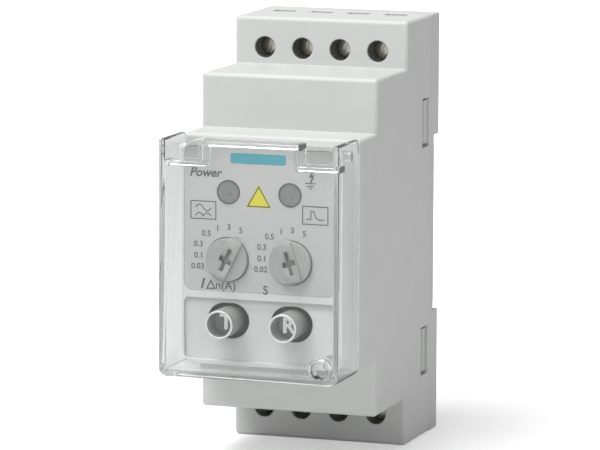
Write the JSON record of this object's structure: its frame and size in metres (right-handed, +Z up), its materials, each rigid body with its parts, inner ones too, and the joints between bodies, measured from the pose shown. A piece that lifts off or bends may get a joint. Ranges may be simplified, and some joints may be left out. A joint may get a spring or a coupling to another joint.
{
  "type": "residual current device",
  "caption": "DIN-rail residual current monitoring relay with clear hinged cover, selector knobs, test and reset buttons, lamps and screw terminals",
  "frame": {"origin": "centre of the flat on the back that seats on the 35 mm rail", "axes": "+X right seen from the front, -Y out of the front, +Z up"},
  "size_m": [0.036, 0.064, 0.0846],
  "materials": {
    "housing": "fine matte moulded polyamide, light grey",
    "base": "fine matte moulded polyamide, light grey",
    "latch": "matte dark grey acetal",
    "spring": "bright spring wire",
    "cover": "clear polished polycarbonate",
    "panel": "light grey moulded plastic",
    "label": "printed satin film",
    "lens": "smoked translucent light guide",
    "knob": "grey moulded plastic",
    "button": "grey semi-gloss plastic",
    "switch": "black moulded plastic",
    "plunger": "black plastic",
    "board": "solder mask",
    "chip": "black epoxy",
    "power_led": "clear green epoxy",
    "trip_led": "clear red epoxy",
    "core": "stacked laminations",
    "bobbin": "natural nylon",
    "winding": "enamelled copper wire",
    "relay": "blue moulded case",
    "capacitor": "dark sleeve",
    "film": "yellow box capacitor",
    "varistor": "blue epoxy disc",
    "resistor": "beige lacquer",
    "screw": "zinc-plated steel",
    "contact": "tin-plated brass",
    "terminal_screw": "nickel-plated steel",
    "cage": "zinc-plated steel"
  },
  "bodies": {
    "housing": {"front_housing": "housing", "rear_base": "base", "latch_spring": "spring", "front_panel": "panel", "front_label": "label", "power_lens": "lens", "trip_lens": "lens", "test_spring": "spring", "reset_spring": "spring", "test_switch": "switch", "reset_switch": "switch", "sensitivity_selector": "switch", "delay_selector": "switch", "front_board": "board", "main_board": "board", "riser_board": "board", "microcontroller": "chip", "signal_amplifier": "chip", "power_led": "power_led", "trip_led": "trip_led", "transformer_core": "core", "transformer_bobbin": "bobbin", "transformer_winding": "winding", "output_relay": "relay", "supply_capacitor": "capacitor", "filter_capacitor": "film", "surge_varistor": "varistor", "rectifier": "chip", "burden_resistors": "resistor", "board_screws": "screw", "panel_screws": "screw", "terminal_contacts": "contact"},
    "cover": {"hinged_cover": "cover"},
    "sensitivity_selector_knob": {"sensitivity_knob": "knob"},
    "delay_selector_knob": {"delay_knob": "knob"},
    "test_key": {"test_button": "button", "test_plunger": "plunger"},
    "reset_key": {"reset_button": "button", "reset_plunger": "plunger"},
    "latch": {"rail_latch": "latch"},
    "terminal_screw_1": {"terminal_screw_1": "terminal_screw"},
    "terminal_cage_1": {"terminal_cage_1": "cage"},
    "terminal_screw_2": {"terminal_screw_2": "terminal_screw"},
    "terminal_cage_2": {"terminal_cage_2": "cage"},
    "terminal_screw_3": {"terminal_screw_3": "terminal_screw"},
    "terminal_cage_3": {"terminal_cage_3": "cage"},
    "terminal_screw_4": {"terminal_screw_4": "terminal_screw"},
    "terminal_cage_4": {"terminal_cage_4": "cage"},
    "terminal_screw_5": {"terminal_screw_5": "terminal_screw"},
    "terminal_cage_5": {"terminal_cage_5": "cage"},
    "terminal_screw_6": {"terminal_screw_6": "terminal_screw"},
    "terminal_cage_6": {"terminal_cage_6": "cage"},
    "terminal_screw_7": {"terminal_screw_7": "terminal_screw"},
    "terminal_cage_7": {"terminal_cage_7": "cage"},
    "terminal_screw_8": {"terminal_screw_8": "terminal_screw"},
    "terminal_cage_8": {"terminal_cage_8": "cage"}
  },
  "joints": [
    {"name": "cover_hinge", "type": "hinge", "parent": "housing", "child": "cover", "pos_m": [0, -0.0519, 0.02], "axis": [-1, 0, 0], "range_deg": [0, 110]},
    {"name": "sensitivity_turn", "type": "hinge", "parent": "housing", "child": "sensitivity_selector_knob", "pos_m": [-0.0064, -0.05, -0.0007], "axis": [0, -1, 0], "range_deg": [0, 127]},
    {"name": "delay_turn", "type": "hinge", "parent": "housing", "child": "delay_selector_knob", "pos_m": [0.0064, -0.05, -0.0007], "axis": [0, -1, 0], "range_deg": [-44, 83]},
    {"name": "test_press", "type": "slide", "parent": "housing", "child": "test_key", "axis": [0, 1, 0], "range_m": [0, 0.0012], "stiffness_N_per_m": 400, "springref_m": -0.0015, "deforming": ["test_spring"]},
    {"name": "reset_press", "type": "slide", "parent": "housing", "child": "reset_key", "axis": [0, 1, 0], "range_m": [0, 0.0012], "stiffness_N_per_m": 400, "springref_m": -0.0015, "deforming": ["reset_spring"]},
    {"name": "latch_pull", "type": "slide", "parent": "housing", "child": "latch", "axis": [0, 0, -1], "range_m": [0, 0.0022], "stiffness_N_per_m": 800, "springref_m": -0.002, "deforming": ["latch_spring"]},
    {"name": "terminal_screw_1_turn", "type": "hinge", "parent": "housing", "child": "terminal_screw_1", "pos_m": [-0.0117, -0.016, 0.0362], "axis": [0, 1, 0], "range_deg": [0, 2016.1]},
    {"name": "terminal_cage_1_lift", "type": "slide", "parent": "housing", "child": "terminal_cage_1", "axis": [0, -1, 0], "range_m": [0, 0.0028]},
    {"name": "terminal_screw_2_turn", "type": "hinge", "parent": "housing", "child": "terminal_screw_2", "pos_m": [-0.0039, -0.016, 0.0362], "axis": [0, 1, 0], "range_deg": [0, 2016.1]},
    {"name": "terminal_cage_2_lift", "type": "slide", "parent": "housing", "child": "terminal_cage_2", "axis": [0, -1, 0], "range_m": [0, 0.0028]},
    {"name": "terminal_screw_3_turn", "type": "hinge", "parent": "housing", "child": "terminal_screw_3", "pos_m": [0.0039, -0.016, 0.0362], "axis": [0, 1, 0], "range_deg": [0, 2016.1]},
    {"name": "terminal_cage_3_lift", "type": "slide", "parent": "housing", "child": "terminal_cage_3", "axis": [0, -1, 0], "range_m": [0, 0.0028]},
    {"name": "terminal_screw_4_turn", "type": "hinge", "parent": "housing", "child": "terminal_screw_4", "pos_m": [0.0117, -0.016, 0.0362], "axis": [0, 1, 0], "range_deg": [0, 2016.1]},
    {"name": "terminal_cage_4_lift", "type": "slide", "parent": "housing", "child": "terminal_cage_4", "axis": [0, -1, 0], "range_m": [0, 0.0028]},
    {"name": "terminal_screw_5_turn", "type": "hinge", "parent": "housing", "child": "terminal_screw_5", "pos_m": [-0.0117, -0.016, -0.0362], "axis": [0, 1, 0], "range_deg": [0, 2016.1]},
    {"name": "terminal_cage_5_lift", "type": "slide", "parent": "housing", "child": "terminal_cage_5", "axis": [0, -1, 0], "range_m": [0, 0.0028]},
    {"name": "terminal_screw_6_turn", "type": "hinge", "parent": "housing", "child": "terminal_screw_6", "pos_m": [-0.0039, -0.016, -0.0362], "axis": [0, 1, 0], "range_deg": [0, 2016.1]},
    {"name": "terminal_cage_6_lift", "type": "slide", "parent": "housing", "child": "terminal_cage_6", "axis": [0, -1, 0], "range_m": [0, 0.0028]},
    {"name": "terminal_screw_7_turn", "type": "hinge", "parent": "housing", "child": "terminal_screw_7", "pos_m": [0.0039, -0.016, -0.0362], "axis": [0, 1, 0], "range_deg": [0, 2016.1]},
    {"name": "terminal_cage_7_lift", "type": "slide", "parent": "housing", "child": "terminal_cage_7", "axis": [0, -1, 0], "range_m": [0, 0.0028]},
    {"name": "terminal_screw_8_turn", "type": "hinge", "parent": "housing", "child": "terminal_screw_8", "pos_m": [0.0117, -0.016, -0.0362], "axis": [0, 1, 0], "range_deg": [0, 2016.1]},
    {"name": "terminal_cage_8_lift", "type": "slide", "parent": "housing", "child": "terminal_cage_8", "axis": [0, -1, 0], "range_m": [0, 0.0028]}
  ],
  "couplings": [
    {"joint": "terminal_screw_1_turn", "follows": "terminal_cage_1_lift", "rad_per_m": 12566},
    {"joint": "terminal_screw_2_turn", "follows": "terminal_cage_2_lift", "rad_per_m": 12566},
    {"joint": "terminal_screw_3_turn", "follows": "terminal_cage_3_lift", "rad_per_m": 12566},
    {"joint": "terminal_screw_4_turn", "follows": "terminal_cage_4_lift", "rad_per_m": 12566},
    {"joint": "terminal_screw_5_turn", "follows": "terminal_cage_5_lift", "rad_per_m": 12566},
    {"joint": "terminal_screw_6_turn", "follows": "terminal_cage_6_lift", "rad_per_m": 12566},
    {"joint": "terminal_screw_7_turn", "follows": "terminal_cage_7_lift", "rad_per_m": 12566},
    {"joint": "terminal_screw_8_turn", "follows": "terminal_cage_8_lift", "rad_per_m": 12566}
  ]
}
